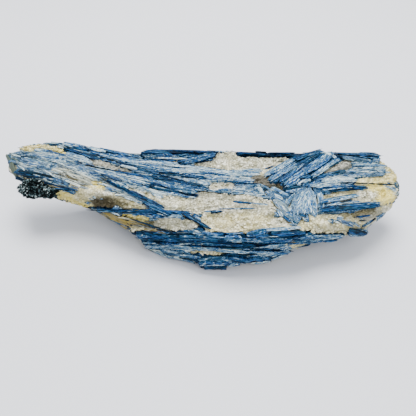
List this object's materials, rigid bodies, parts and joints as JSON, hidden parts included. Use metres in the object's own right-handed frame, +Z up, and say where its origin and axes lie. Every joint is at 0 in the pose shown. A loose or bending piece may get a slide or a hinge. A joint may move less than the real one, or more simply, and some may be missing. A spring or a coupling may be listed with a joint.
{
  "type": "kyanite blade cluster",
  "caption": "Natural cluster of flat blue kyanite blades in sheaves, grown through a bed of white quartz with dark mica at one end. It rests on a flat sole.",
  "frame": {"origin": "point on the flat sole under the middle of the stone", "axes": "+X along the stone's length towards the end with the fan of blades, +Y towards the straight rear edge, +Z up from the sole"},
  "size_m": [0.2379, 0.0712, 0.0426],
  "materials": {
    "kyanite": "pearly, streaked lengthwise from near white to deep blue",
    "quartz": "granular white with cream, amber and grey stains",
    "dark_mica": "black flakes with a grey-green glint"
  },
  "bodies": {
    "root": {"dark_mica_clump": "dark_mica", "fan_blades": "kyanite", "forked_blades": "kyanite", "front_blades": "kyanite", "inset_blade": "kyanite", "inset_side_blade": "kyanite", "left_skirt_blades": "kyanite", "lower_right_blade": "kyanite", "lower_sliver": "kyanite", "quartz_matrix": "quartz", "rear_blades": "kyanite", "rear_lens_blade": "kyanite", "right_end_blades": "kyanite", "sweep_blades": "kyanite", "tip_blade": "kyanite", "under_blades": "kyanite", "upper_sliver": "kyanite"}
  },
  "joints": []
}
